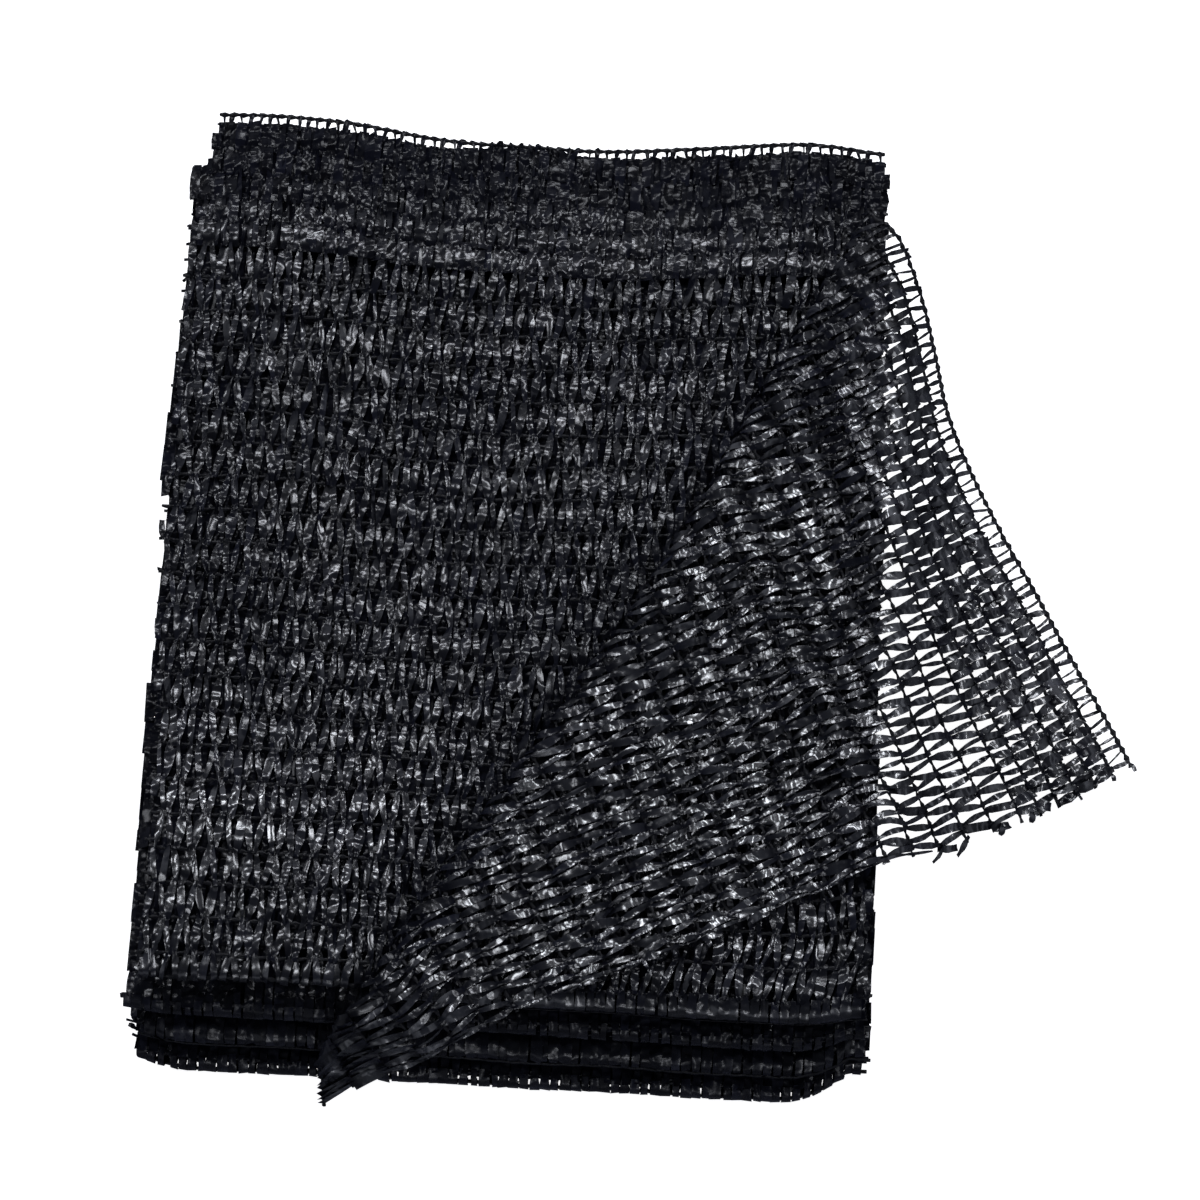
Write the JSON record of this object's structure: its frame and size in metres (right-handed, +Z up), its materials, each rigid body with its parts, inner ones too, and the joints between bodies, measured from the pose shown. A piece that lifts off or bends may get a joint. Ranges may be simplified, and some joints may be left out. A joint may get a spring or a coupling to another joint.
{
  "type": "folded shade net",
  "caption": "Knitted black shade net folded back and forth into a flat bundle, with one corner of its top layer turned back over the right side.",
  "frame": {"origin": "centre of the bundle's bounding box, on the surface that it rests on", "axes": "+X along the rows of the knit, towards the turned-back corner; -Y the folded front edge; +Z up"},
  "size_m": [0.2326, 0.2442, 0.0434],
  "materials": {
    "knitted_tape": "black polyethylene tape, knitted, with a soft gloss"
  },
  "bodies": {
    "root": {"net": "knitted_tape"}
  },
  "joints": []
}
